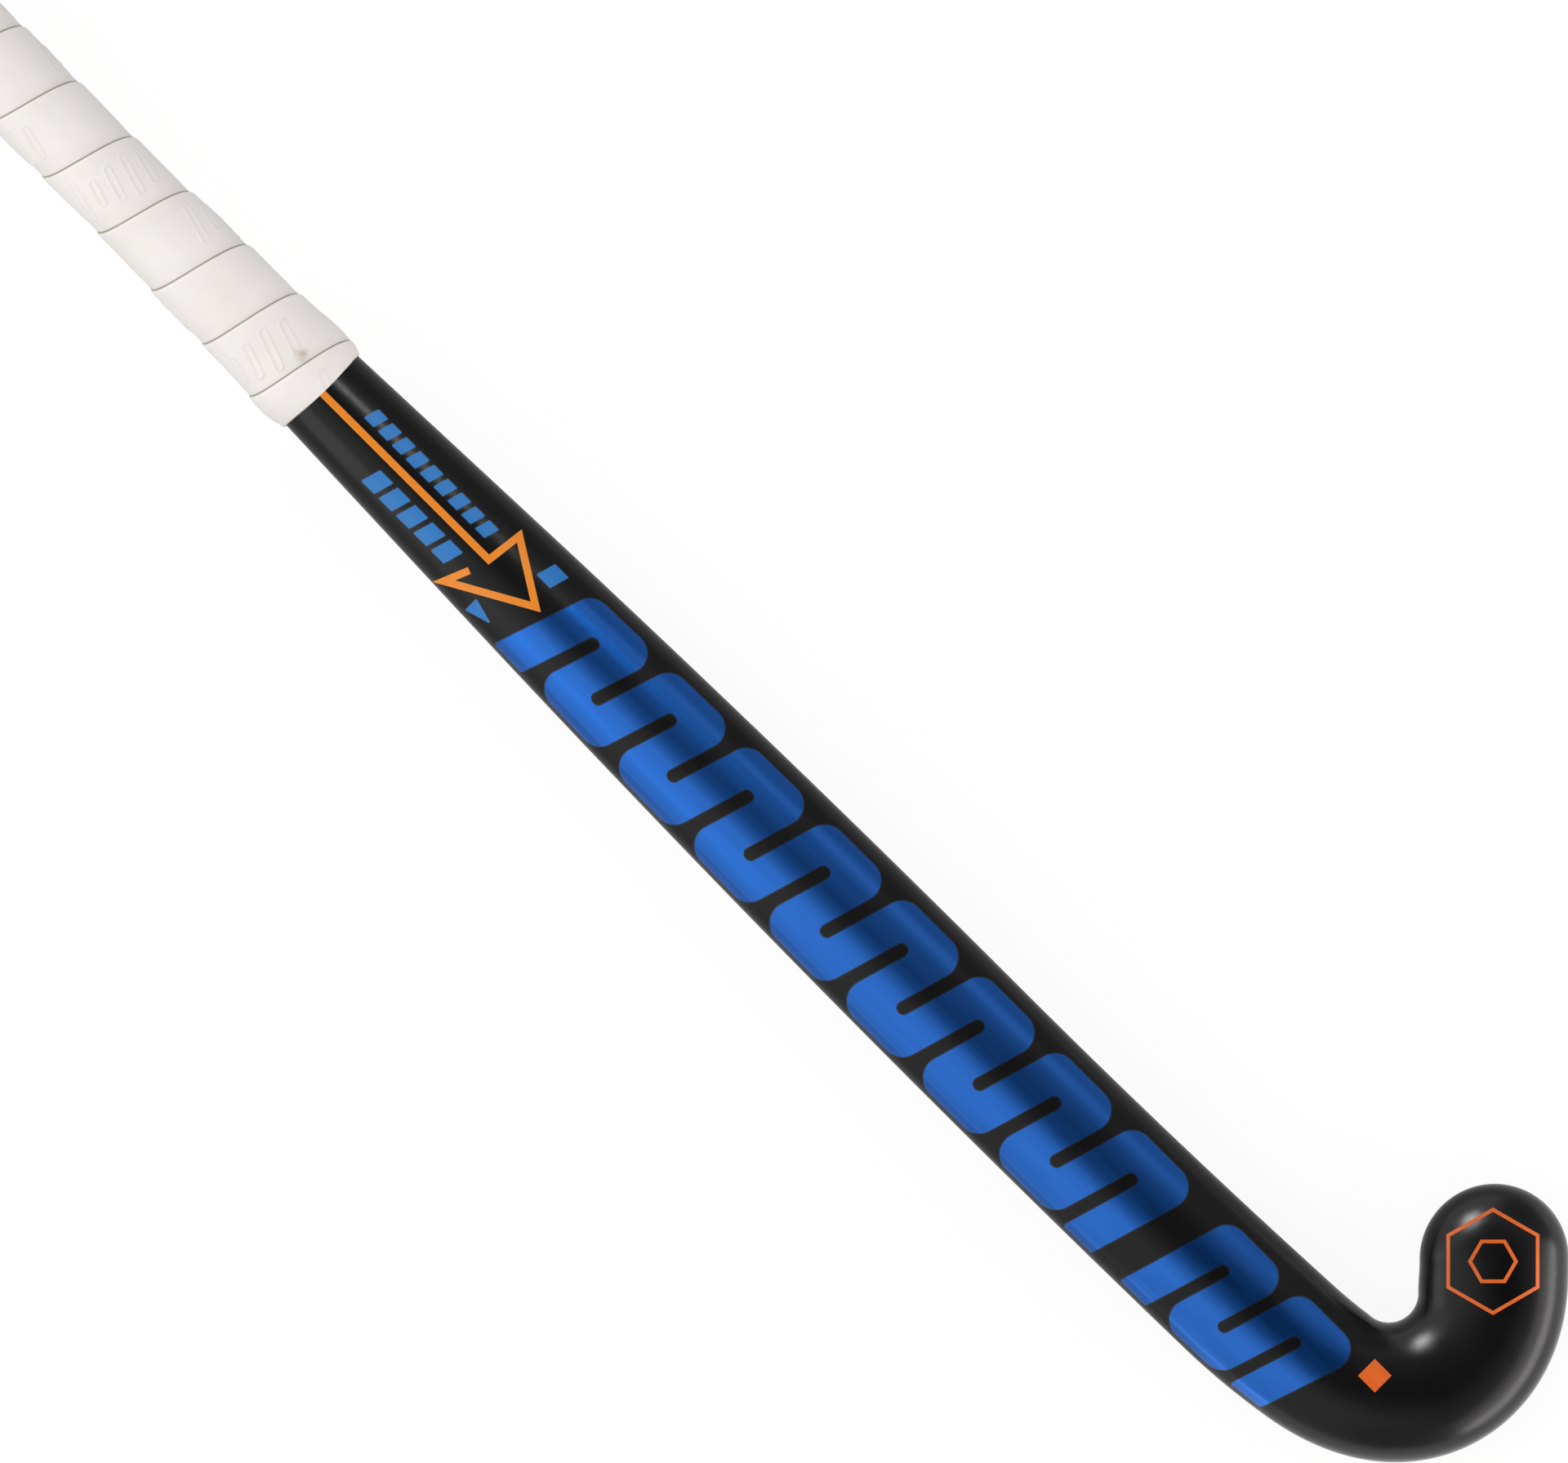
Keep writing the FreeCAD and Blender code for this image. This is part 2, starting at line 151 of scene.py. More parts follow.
def profile_places(steps):
    """Kind and place of each point of half a profile, from the middle of the face to the crest."""
    flats, corners, backs = steps
    places = [("flat", k / flats) for k in range(flats)]
    places += [("corner", 1.0 - k / corners) for k in range(corners)]
    return places + [("back", k / backs) for k in range(backs + 1)]


def profile_point(kind, place, flat, half, low, height, top):
    """Out and up offsets of one point of a profile."""
    if kind == "flat":
        return flat * place, low
    if kind == "corner":
        side, rise = conic(place, QUARTER_WEIGHT)
        return flat + (half - flat) * side, height - (height - low) * rise
    side, rise = conic(place, BACK_FULLNESS)
    return half * side, height + (top - height) * rise


def half_profile(half, depth, share, height, growth=0.0, steps=PLAIN_STEPS):
    """Out and up offsets from the middle of the face, round one side, to the crest."""
    sizes = (half * share + FLAT_GAIN * growth, half + growth, -growth, height, depth + growth)
    return np.array([profile_point(kind, place, *sizes) for kind, place in profile_places(steps)]).T


def section(heel, toe, pitch, station):
    """Closed ring: middle of the face, toe side, crest, heel side."""
    middle, gap = 0.5 * (heel + toe), toe - heel
    width = np.linalg.norm(gap)
    depth, share, height = profile_sizes(station)
    out, up = half_profile(0.5 * width, depth, share, height)
    out = np.concatenate([out, -out[-2:0:-1]])
    up = np.concatenate([up, up[-2:0:-1]])
    normal = np.array([math.sin(pitch), 0.0, math.cos(pitch)])
    return middle + np.multiply.outer(out, gap / width) + np.multiply.outer(up, normal)


def shaft_ring(station):
    """The section across the shaft."""
    height, pitch = face_line(station)
    heel, toe = [np.array([-station, float(y), float(height)]) for y in edges(station)]
    return section(heel, toe, float(pitch), station)


def toe_outer(along):
    """How far the outer edge leaves the hook's radius past the hook."""
    share = along / TOE_STRAIGHT
    return TOE_SWELL * (2.0 - share) * share


def toe_inner(along):
    """How far the inner edge draws in past the hook."""
    return TOE_DRAW * smooth(along, 0.0, TOE_STRAIGHT)


def hook_ends(ray, along=0.0):
    """Outer and inner end of the hook's face along a ray, moved on square to the ray."""
    direction = np.array([math.cos(ray), math.sin(ray)])
    start = THROAT + along * np.array([-math.sin(ray), math.cos(ray)])
    outer = start + direction * (hook_radius(ray) + toe_outer(along))
    inner = start + direction * (THROAT_RADIUS + toe_inner(along))
    return [np.array([x, y, -x * math.tan(HEAD_PITCH)]) for x, y in (outer, inner)]


# ---------------------------------------------------------------- the back as a height over the plan

ROUNDS = 5  # the foot of a point on the back shifts with its height, and settles in a few rounds
SLOPE_STEP = 0.05


def back_rise(out_share, depth, height):
    """Height of the back over the face at a share of the half width."""
    side = np.clip(out_share, 1e-9, 1.0)
    lead = BACK_FULLNESS * (1 - side)
    ratio = (lead + np.sqrt(lead ** 2 + side * (1 - side))) / side
    top = 2 * BACK_FULLNESS * ratio + ratio * ratio
    return height + (depth - height) * top / (1 + top)


def head_share(x, y):
    """Share of the half width at a plan position in the head."""
    dx, dy = x - THROAT[0], y - THROAT[1]
    outer = hook_radius(np.clip(np.arctan2(dy, dx), -0.5 * math.pi, HOOK_END))
    hook_share = np.abs(np.hypot(dy, dx) - 0.5 * (outer + THROAT_RADIUS)) / (0.5 * (outer - THROAT_RADIUS))
    along = -dx * math.sin(HOOK_END) + dy * math.cos(HOOK_END)
    away = dx * math.cos(HOOK_END) + dy * math.sin(HOOK_END)
    straight = np.clip(along, 0, TOE_STRAIGHT)
    inner = THROAT_RADIUS + toe_inner(straight)
    half = 0.5 * (hook_radius(HOOK_END) + toe_outer(straight) - inner)
    toe_share = np.hypot(away - inner - half, np.maximum(along - TOE_STRAIGHT, 0.0)) / half
    return np.where((along > 0) & (dy > 0), toe_share, hook_share)


def back_height(x, y):
    """Height of the back above plan positions, in the stick's own axes."""
    x, y = np.asarray(x, float), np.asarray(y, float)
    foot = x.copy()
    for _ in range(ROUNDS):
        station = -foot
        heel, toe = edges(station)
        line, slope = face_line(station)
        depth, _, height = profile_sizes(station)
        in_shaft = (foot < THROAT[0]) & (y < THROAT[1])
        shaft_share = np.abs(y - 0.5 * (toe + heel)) / (0.5 * (toe - heel))
        share = np.where(in_shaft, shaft_share, head_share(foot, y))
        pitch = np.where(in_shaft, slope, HEAD_PITCH)
        base = np.where(in_shaft, line, station * math.tan(HEAD_PITCH))
        depth = np.where(in_shaft, depth, HEAD_DEPTH)
        height = np.where(in_shaft, height, HEAD_EDGE)
        rise = back_rise(share, depth, height)
        foot = x - rise * np.sin(pitch)
    return base + rise * np.cos(pitch)


def on_back(x, y, lift):
    """Points and normals on the back over plan positions."""
    z = back_height(x, y)
    slope_x = (back_height(x + SLOPE_STEP, y) - back_height(x - SLOPE_STEP, y)) / (2 * SLOPE_STEP)
    slope_y = (back_height(x, y + SLOPE_STEP) - back_height(x, y - SLOPE_STEP)) / (2 * SLOPE_STEP)
    normal = np.stack([-slope_x, -slope_y, np.ones_like(z)], -1)
    normal /= np.linalg.norm(normal, axis=-1, keepdims=True)
    return np.stack([x, y, z], -1) + lift * normal, normal


# ---------------------------------------------------------------- materials


class Graph:
    """A short way to write a node tree. In node(), a key such as i0 means an input by its number."""

    def __init__(self, tree):
        self.tree = tree
        tree.nodes.clear()

    def node(self, kind, sets=(), **links):
        made = self.tree.nodes.new(kind)
        for key, value in dict(sets).items():
            setattr(made, key, value)
        for key, value in links.items():
            self.feed(made, key, value)
        return made

    def feed(self, node, key, value):
        by_number = key[0] == "i" and key[1:].isdigit()
        socket = node.inputs[int(key[1:]) if by_number else key.replace("_", " ")]
        if isinstance(value, bpy.types.NodeSocket):
            self.tree.links.new(value, socket)
        else:
            socket.default_value = value

    def math(self, how, a, b=0.0, clamp=False):
        return self.node("ShaderNodeMath", {"operation": how, "use_clamp": clamp}, i0=a, i1=b).outputs[0]

    def place(self, scale):
        coords = self.node("ShaderNodeTexCoord").outputs["Object"]
        return self.node("ShaderNodeMapping", i0=coords, i3=scale).outputs[0]

    def noise(self, scale, size=1.0, detail=3.0, rough=0.5):
        place = self.place(scale)
        made = self.node("ShaderNodeTexNoise", i0=place, Scale=size, Detail=detail, Roughness=rough)
        return made.outputs["Fac"]

    def even_noise(self, size, detail=3.0, rough=0.5):
        return self.noise((1, 1, 1), size, detail, rough)

    def ramp(self, fac, stops):
        made = self.node("ShaderNodeValToRGB", Fac=fac)
        line = made.color_ramp.elements
        while len(line) < len(stops):
            line.new(0.5)
        for spot, (where, colour) in zip(line, stops):
            spot.position = where
            spot.color = (*colour, 1.0)
        return made.outputs["Color"]

    def tones(self, fac, dark, light):
        return self.ramp(fac, [(0.3, dark), (0.7, light)])

    def span(self, fac, low, high, from_low=0.0, from_high=1.0):
        made = self.node("ShaderNodeMapRange", Value=fac)
        for k, value in zip((1, 2, 3, 4), (from_low, from_high, low, high)):
            made.inputs[k].default_value = value
        return made.outputs[0]

    def mix(self, fac, first, second):
        return self.node("ShaderNodeMix", {"data_type": "RGBA"}, i0=fac, i6=first, i7=second).outputs[2]

    def attribute(self, name):
        return self.node("ShaderNodeAttribute", {"attribute_name": name}).outputs["Fac"]

    def bump(self, height, strength, distance, before=None):
        made = self.node("ShaderNodeBump", Height=height, Strength=strength, Distance=distance)
        if before is not None:
            self.feed(made, "Normal", before)
        return made.outputs["Normal"]


def material(name, **fixed):
    """A material with a Principled shader, and its graph."""
    made = bpy.data.materials.new(name)
    made.use_nodes = True
    graph = Graph(made.node_tree)
    shader = graph.node("ShaderNodeBsdfPrincipled")
    graph.node("ShaderNodeOutputMaterial", Surface=shader.outputs[0])
    for key, value in fixed.items():
        graph.feed(shader, key, value)
    return made, graph, shader


def lacquer_material():
    """Black lacquer with a faint orange peel, smears and fine scratches along the stick."""
    made, g, shader = material("lacquer_black", Specular_IOR_Level=0.32)
    broad = g.even_noise(28.0, 4.0)
    dark, light = (0.0010, 0.0008, 0.0010), (0.0020, 0.0017, 0.0019)
    g.feed(shader, "Base Color", g.ramp(broad, [(0.35, dark), (0.7, light)]))
    fine = g.even_noise(900.0, 2.0)
    smear = g.noise((1, 6, 6), 9.0, 5.0)
    rough = g.math("ADD", g.span(smear, 0.22, 0.29, 0.3, 0.7), g.span(fine, -0.02, 0.02))
    g.feed(shader, "Roughness", rough)
    peel = g.bump(g.even_noise(420.0, 2.0), 0.12, 0.0002)
    scratch = g.ramp(g.noise((8, 160, 160), 5.0, 2.0), [(0.72, (0, 0, 0)), (0.78, (1, 1, 1))])
    g.feed(shader, "Normal", g.bump(scratch, 0.03, 0.0001, peel))
    return made


def film_material(name, dark, light, rough, metallic=0.0, coat=0.0):
    """Printed film with a grain drawn out along the stick."""
    made, g, shader = material(name, Metallic=metallic, Coat_Weight=coat, Coat_Roughness=0.1)
    along = g.noise((6, 260, 260), 1.0, 4.0, 0.6)
    grain = g.even_noise(1500.0, 2.0)
    tone = g.math("ADD", g.math("MULTIPLY", along, 0.75), g.math("MULTIPLY", grain, 0.25))
    g.feed(shader, "Base Color", g.tones(tone, dark, light))
    g.feed(shader, "Roughness", g.span(along, *rough, 0.3, 0.7))
    g.feed(shader, "Normal", g.bump(g.even_noise(420.0, 2.0), 0.1, 0.0002))
    return made


def grip_material():
    """Off-white polyurethane with painted shade in its seams, a little on the raised marks and in a soft
    band before each seam, and with one small stain.
    """
    made, g, shader = material("grip_polyurethane", Specular_IOR_Level=0.35, Subsurface_Weight=0.08,
                               Subsurface_Scale=0.002, Sheen_Weight=0.15, Sheen_Roughness=0.5)
    shader.inputs["Subsurface Radius"].default_value = (1.0, 0.8, 0.6)
    blotch = g.even_noise(45.0, 5.0, 0.6)
    clean = g.tones(blotch, (0.845, 0.808, 0.776), (0.885, 0.850, 0.822))
    # painted shade: the tape turns a dark olive in its seams, on its raised marks and in a band before
    # each seam
    tape_with_painted_shade = g.mix(g.attribute("painted_shade"), clean, (0.36, 0.335, 0.27, 1.0))
    patchy = g.span(g.even_noise(420.0, 4.0), 0.3, 1.2, 0.3, 0.7)
    blot = g.math("MULTIPLY", g.attribute("stain"), patchy, clamp=True)
    g.feed(shader, "Base Color", g.mix(blot, tape_with_painted_shade, (0.42, 0.33, 0.2, 1.0)))
    g.feed(shader, "Roughness", g.span(blotch, 0.42, 0.56, 0.3, 0.7))
    place = g.place((1, 1, 1))
    cell = g.node("ShaderNodeTexVoronoi", {"feature": "DISTANCE_TO_EDGE"}, i0=place, Scale=1300.0)
    leather = g.bump(cell.outputs[0], 0.10, 0.0003)
    g.feed(shader, "Normal", g.bump(g.even_noise(180.0, 4.0), 0.10, 0.0008, leather))
    return made


def plain_material(name, dark, light, rough, scale, bump):
    made, g, shader = material(name)
    spot = g.even_noise(scale, 4.0, 0.6)
    g.feed(shader, "Base Color", g.tones(spot, dark, light))
    g.feed(shader, "Roughness", g.span(spot, rough - 0.06, rough + 0.06, 0.3, 0.7))
    g.feed(shader, "Normal", g.bump(g.even_noise(scale * 3.0), bump, 0.0005))
    return made


INK_ROUGH = (0.38, 0.46)
MAT = {
    "lacquer": lacquer_material(),
    "blue": film_material("film_blue_metallic", (0.003, 0.125, 0.56), (0.010, 0.160, 0.67), (0.19, 0.26),
                          metallic=1.0, coat=0.6),
    "blue_ink": film_material("film_blue_ink", (0.010, 0.18, 0.53), (0.014, 0.22, 0.65), INK_ROUGH),
    "navy": film_material("film_navy_edge", (0.001, 0.004, 0.010), (0.002, 0.007, 0.016), (0.25, 0.3)),
    "amber": film_material("film_amber", (0.97, 0.27, 0.010), (1.0, 0.31, 0.016), INK_ROUGH),
    "orange": film_material("film_orange", (0.80, 0.130, 0.010), (0.87, 0.158, 0.014), INK_ROUGH),
    "grip": grip_material(),
    "cap": plain_material("cap_rubber", (0.010, 0.010, 0.011), (0.018, 0.018, 0.019), 0.6, 300.0, 0.25),
    "foam": plain_material("foam_rigid", (0.62, 0.54, 0.36), (0.74, 0.66, 0.48), 0.85, 700.0, 0.6),
    "tube": plain_material("tube_laminate", (0.012, 0.012, 0.013), (0.03, 0.03, 0.032), 0.45, 500.0, 0.3),
    "aramid": plain_material("aramid_layer", (0.5, 0.36, 0.06), (0.66, 0.5, 0.12), 0.6, 900.0, 0.5),
    "cushion": plain_material("cushion_foam", (0.10, 0.10, 0.105), (0.17, 0.17, 0.175), 0.9, 900.0, 0.6),
}


# ---------------------------------------------------------------- meshes


def add_mesh(name, points, faces, mat, normals=None, attributes=()):
    """A piece of the stick from points in mm in the stick's own axes."""
    data = bpy.data.meshes.new(name)
    data.from_pydata(to_row(points).tolist(), [], [tuple(int(k) for k in face) for face in faces])
    data.validate()
    data.polygons.foreach_set("use_smooth", [True] * len(data.polygons))
    for key, values in dict(attributes).items():
        layer = data.attributes.new(key, "FLOAT", "POINT")
        layer.data.foreach_set("value", np.asarray(values, np.float32))
    if normals is not None:
        data.normals_split_custom_set_from_vertices(turn_level(normals).tolist())
    data.materials.append(mat)
    piece = bpy.data.objects.new(name, data)
    bpy.context.scene.collection.objects.link(piece)
    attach(piece, "root")
    return piece


def ring_faces(rings, size):
    """Quads between neighbouring closed rings."""
    row, column = np.arange(rings - 1)[:, None] * size, np.arange(size)[None, :]
    a, b = row + column, row + (column + 1) % size
    return np.stack([a, b, b + size, a + size], -1).reshape(-1, 4)


HANDLE_RINGS, SHAFT_RINGS, TOE_RINGS = 240, 130, 9
LAST_STATION = 59.0  # the last section square to the shaft, just before the throat
RAY_STEP, TOE_TURNS = 1.6, 64


def laminate():
    """The shell's outside: sections along the shaft, the hook and the toe, closed by the round toe."""
    stations = list(np.linspace(HANDLE_END, BOW_END, HANDLE_RINGS))
    stations += list(np.linspace(BOW_END, LAST_STATION, SHAFT_RINGS))[1:]
    rings = [shaft_ring(station) for station in stations]
    rays = np.radians(np.arange(-90.0, math.degrees(HOOK_END) + 0.01, RAY_STEP))
    straight = np.linspace(0.0, TOE_STRAIGHT, TOE_RINGS)[1:]
    for ray, along in [(ray, 0.0) for ray in rays] + [(HOOK_END, along) for along in straight]:
        outer, inner = hook_ends(ray, along)
        rings.append(section(outer, inner, HEAD_PITCH, 0.0))
    size = len(rings[0])
    faces = [tuple(face) for face in ring_faces(len(rings), size)]
    # the round toe: half profiles turned about the upright line through the last section's middle
    gap = inner - outer
    out, up = half_profile(0.5 * np.linalg.norm(gap), HEAD_DEPTH, HEAD_FLAT, HEAD_EDGE)
    middle, across = 0.5 * (inner + outer), gap / np.linalg.norm(gap)
    normal = np.array([math.sin(HEAD_PITCH), 0.0, math.cos(HEAD_PITCH)])
    forward = np.cross(across, normal)
    crest, last = len(out) - 1, (len(rings) - 1) * size
    count = len(rings) * size
    columns = [[last + k for k in range(crest + 1)]]
    for k in range(1, TOE_TURNS):
        angle = math.pi * k / TOE_TURNS
        side = across * math.cos(angle) + forward * math.sin(angle)
        rings.append(middle + np.multiply.outer(out[1:-1], side) + np.multiply.outer(up[1:-1], normal))
        columns.append([last] + [count + j for j in range(crest - 1)] + [last + crest])
        count += crest - 1
    columns.append([last] + [last + size - k for k in range(1, crest)] + [last + crest])
    for left, right in zip(columns, columns[1:]):
        for j in range(crest):
            quad = [left[j], left[j + 1], right[j + 1], right[j]]
            faces.append(tuple(dict.fromkeys(quad)))
    faces.append(tuple(range(size))[::-1])
    return add_mesh("laminate_surface", np.concatenate(rings), faces, MAT["lacquer"])


shell = laminate()
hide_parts("laminate_shell")

# ---------------------------------------------------------------- grip tape, wound with overlapping edges
# A phase counts the tape's turns towards the head. It is whole where an edge crosses the toe side.

GRIP_START = 501.7
PITCH_UP, PITCH_LOW, PITCH_CHANGE = 25.2, 22.6, 552.2
SEAM_ZERO = 627.9
TAPE, CUSHION = 1.0, 0.8
MEAN_GROWTH = 1.6
RING_SWELL, RING_START, RING_END = 0.75, 512.5, 526.5
STEP_SWELL, STEP_STATION, STEP_SPREAD = 0.4, 560.0, 16.0
END_BOW, END_BOW_MIDDLE, END_BOW_REACH, GRIP_HALF = 1.0, 0.12, 1.2, 16.0


def phase_of(station):
    upper = (SEAM_ZERO - np.maximum(station, PITCH_CHANGE)) / PITCH_UP
    return upper + np.maximum(PITCH_CHANGE - station, 0.0) / PITCH_LOW


def station_of(phase):
    turn = (SEAM_ZERO - PITCH_CHANGE) / PITCH_UP
    upper = SEAM_ZERO - PITCH_UP * np.minimum(phase, turn)
    return upper - PITCH_LOW * np.maximum(phase - turn, 0.0)


def swelling(station):
    """The cushion's ring at the lower end of the grip, and a softer step further up."""
    ring = 1.0 - smooth(station, RING_START, RING_END)
    return RING_SWELL * ring + STEP_SWELL * np.exp(-(((station - STEP_STATION) / STEP_SPREAD) ** 2))


def grown_rings(stations, growth, steps):
    """Rings of points where both the station and the growth may differ from point to point."""
    heel, toe = edges(stations)
    half, middle = 0.5 * (toe - heel), 0.5 * (toe + heel)
    depth, share, height = profile_sizes(stations)
    line, pitch = face_line(stations)
    sizes = (half * share + FLAT_GAIN * growth, half + growth, -growth, height, depth + growth)
    places = profile_places(steps)
    order = [(1.0, *each) for each in places] + [(-1.0, *each) for each in places[-2:0:-1]]
    out, up = np.empty_like(stations), np.empty_like(stations)
    for column, (side, kind, place) in enumerate(order):
        reach, rise = profile_point(kind, place, *[size[:, column] for size in sizes])
        out[:, column], up[:, column] = side * reach, rise
    x = -stations + up * np.sin(pitch)
    return np.stack([x, middle + out, line + up * np.cos(pitch)], -1)


def turn_shares():
    """For each column of a ring, its share of the way round from the heel side over the back."""
    sizes = (0.5 * HANDLE_WIDTH, HANDLE_DEPTH, HANDLE_FLAT, HANDLE_EDGE)
    out, up = half_profile(*sizes, MEAN_GROWTH, WOUND_STEPS)
    out, up = np.concatenate([out, -out[-2:0:-1]]), np.concatenate([up, up[-2:0:-1]])
    steps = np.hypot(np.diff(out, append=out[:1]), np.diff(up, append=up[:1]))
    length = np.concatenate([[0.0], np.cumsum(steps)])
    share = length[:-1] / length[-1]
    heel_column = len(share) - (WOUND_STEPS[0] + WOUND_STEPS[1])
    return (share[heel_column] - share) % 1.0


def grip_end(y):
    """Station where the tape ends, bowed a little across the stick."""
    share = np.clip(y / GRIP_HALF - END_BOW_MIDDLE, -END_BOW_REACH, END_BOW_REACH)
    return GRIP_START + END_BOW * share ** 2


MARK_PERIOD, MARK_FIRST, MARK_PITCH = 74.0, 8.0, 6.2
MARK_REACHES, MARK_HALF, MARK_SLANT, MARK_MIDDLE = (5.2, 6.4, 5.2, 3.6, 6.4), 1.1, 0.28, 12.5
MARK_RIM_INNER, MARK_RIM_OUTER = 0.12, 0.50
MARK_HEIGHT = 0.26


def emboss(along, across):
    """Raised generic marks on the tape: groups of slanted rounded outlines."""
    raised = np.zeros_like(along)
    over_middle = across - MARK_MIDDLE
    for k, reach in enumerate(MARK_REACHES):
        slanted = along % MARK_PERIOD - (MARK_FIRST + MARK_PITCH * k) - MARK_SLANT * over_middle
        distance = np.hypot(slanted, np.maximum(np.abs(over_middle) - reach, 0.0))
        rim = 1.0 - smooth(np.abs(distance - MARK_HALF), MARK_RIM_INNER, MARK_RIM_OUTER)
        raised = np.maximum(raised, rim)
    return raised


def lip(station, end, length, least):
    """The rounded way down to the lacquer at a wrap's lower end, as a share of its thickness."""
    return np.sqrt(np.clip((station - end) / length + least, 0.0, 1.0))


def tape_growth(station, down, pitch, end):
    """How far the tape stands off the handle, down from the edge of its turn."""
    rise = np.clip(down / 1.3, 0.0, 1.0)
    bevel = 0.80 * np.sqrt(1.0 - (1.0 - rise) ** 2)
    falling = -0.56 * np.clip(down / pitch, 0, 1) ** 1.3
    dip = -0.14 * np.exp(-(((pitch - down - 2.8) / 1.7) ** 2))
    step = (-0.40 + bevel + falling + dip) * smooth(station, end, end + 5.0)
    return (TAPE + CUSHION + swelling(station)) * lip(station, end, 8.0, 0.05) + step


# places across one turn of the tape, closer together at its edges
TURN_SAMPLES = np.concatenate([
    np.linspace(0.0, 0.06, 9)[:-1],
    np.linspace(0.06, 0.86, 58)[:-1],
    np.linspace(0.86, 0.995, 13),
])
TURN_LENGTH = 96.0
END_GROWTH = 0.02
STAIN_CENTRE, STAIN_SPREAD, STAIN_LEVEL, STAIN_FLOOR = (-515.93, 3.545), 2.1, 0.75, 20.0


def strip(left, right):
    """Quads between two columns of points."""
    return np.stack([left[:-1], left[1:], right[1:], right[:-1]], -1)


def grip_faces(rows, shares):
    """Quads of the wound tape. The last column joins the first one a turn further on."""
    size, per_turn = len(shares), len(TURN_SAMPLES)
    index = np.arange(rows * size).reshape(rows, size)
    order = np.argsort(shares)
    faces = []
    for left, right in zip(order, order[1:]):
        faces.append(strip(index[:, left], index[:, right]))
    faces.append(strip(index[:-per_turn, order[-1]], index[per_turn:, order[0]]))
    return np.concatenate(faces)


def wound_tape():
    """The wound tape, as one strip whose turns lap over each other."""
    shares = turn_shares()
    first, last = phase_of(HANDLE_END) - 1.0, phase_of(GRIP_START - 4.0) + 1.5
    turns = np.arange(math.floor(first), math.ceil(last) + 1)
    phases = np.concatenate([turn + TURN_SAMPLES for turn in turns])
    phase = phases[:, None] + np.zeros(len(shares))
    raw = station_of(phase + shares - 0.5)
    trial = grown_rings(raw, np.full_like(raw, TAPE + CUSHION), WOUND_STEPS)
    end = grip_end(trial[..., 1])
    stations = np.clip(raw, end, HANDLE_END)
    past_end = raw <= end
    pitch = np.where(raw > PITCH_CHANGE, PITCH_UP, PITCH_LOW)
    turn = np.floor(phase + 1e-9)
    down = (phase - turn) * pitch
    relief = emboss((turn + 1.0 - shares) * TURN_LENGTH, down)
    growth = tape_growth(stations, down, pitch, end) + MARK_HEIGHT * relief
    growth = np.where(past_end, np.minimum(growth, END_GROWTH), growth)
    points = grown_rings(stations, growth, WOUND_STEPS).reshape(-1, 3)
    # painted shade on the tape: dark in the seams, a little on the raised marks, and in a soft band before
    # the next seam
    painted_shade = np.exp(-(down / 0.30) ** 2) + 0.8 * np.exp(-((pitch - down) / 0.35) ** 2) + 0.07 * relief
    painted_shade = np.where(past_end, 0.0, painted_shade) + 0.10 * np.exp(-((pitch - down) / 2.5) ** 2)
    reach = np.hypot(points[:, 0] - STAIN_CENTRE[0], points[:, 1] - STAIN_CENTRE[1])
    stain = STAIN_LEVEL * np.exp(-(reach / STAIN_SPREAD) ** 2) * (points[:, 2] > STAIN_FLOOR)
    # past the two ends the strip is pressed flat, and its empty faces are left out
    faces = grip_faces(len(phases), shares)
    corners = points[faces]
    diagonals = np.cross(corners[:, 2] - corners[:, 0], corners[:, 3] - corners[:, 1])
    faces = faces[0.5 * np.linalg.norm(diagonals, axis=1) > 1e-4][:, ::-1]
    used = np.unique(faces)
    renumber = np.full(len(points), -1)
    renumber[used] = np.arange(len(used))
    return add_mesh("grip_tape_wound", points[used], renumber[faces], MAT["grip"],
                    attributes={"painted_shade": painted_shade.reshape(-1)[used].clip(0, 1), "stain": stain[used]})


grip = wound_tape()
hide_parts("grip_tape")

# ---------------------------------------------------------------- cushion under the tape

CUSHION_START, CUSHION_FINE, CUSHION_LAST = 506.5, 540.0, 507.0
RIPPLE, CUSHION_GAP, HANDLE_GAP = 0.05, 0.05, 0.02


def cushion_piece():
    """A closed sleeve under the tape, with a faint ripple where the tape presses on it."""
    upper = np.linspace(HANDLE_END - 0.5, CUSHION_FINE, 180)
    stations = np.concatenate([upper, np.linspace(CUSHION_FINE, CUSHION_LAST, 50)[1:]])
    size = 2 * sum(PLAIN_STEPS)
    grid = np.repeat(stations[:, None], size, 1)
    ripple = RIPPLE * np.sin(phase_of(grid) * 2 * math.pi) * smooth(grid, 520.0, CUSHION_FINE)
    growth = (CUSHION + swelling(grid)) * lip(grid, CUSHION_START, 6.0, 0.04) + ripple - CUSHION_GAP
    outer = grown_rings(grid, growth, PLAIN_STEPS)
    inner = grown_rings(grid[::-1], np.full_like(grid, HANDLE_GAP), PLAIN_STEPS)
    points = np.concatenate([outer.reshape(-1, 3), inner.reshape(-1, 3)])
    rings = 2 * len(stations)
    first = np.arange(size)
    last = first + (rings - 1) * size
    closing = np.stack([last, np.roll(last, -1), np.roll(first, -1), first], -1)
    faces = np.concatenate([ring_faces(rings, size), closing])
    return add_mesh("cushion_underwrap", points, faces, MAT["cushion"])


cushion = cushion_piece()
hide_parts("cushion_wrap")

# ---------------------------------------------------------------- outlines in plan, in mm


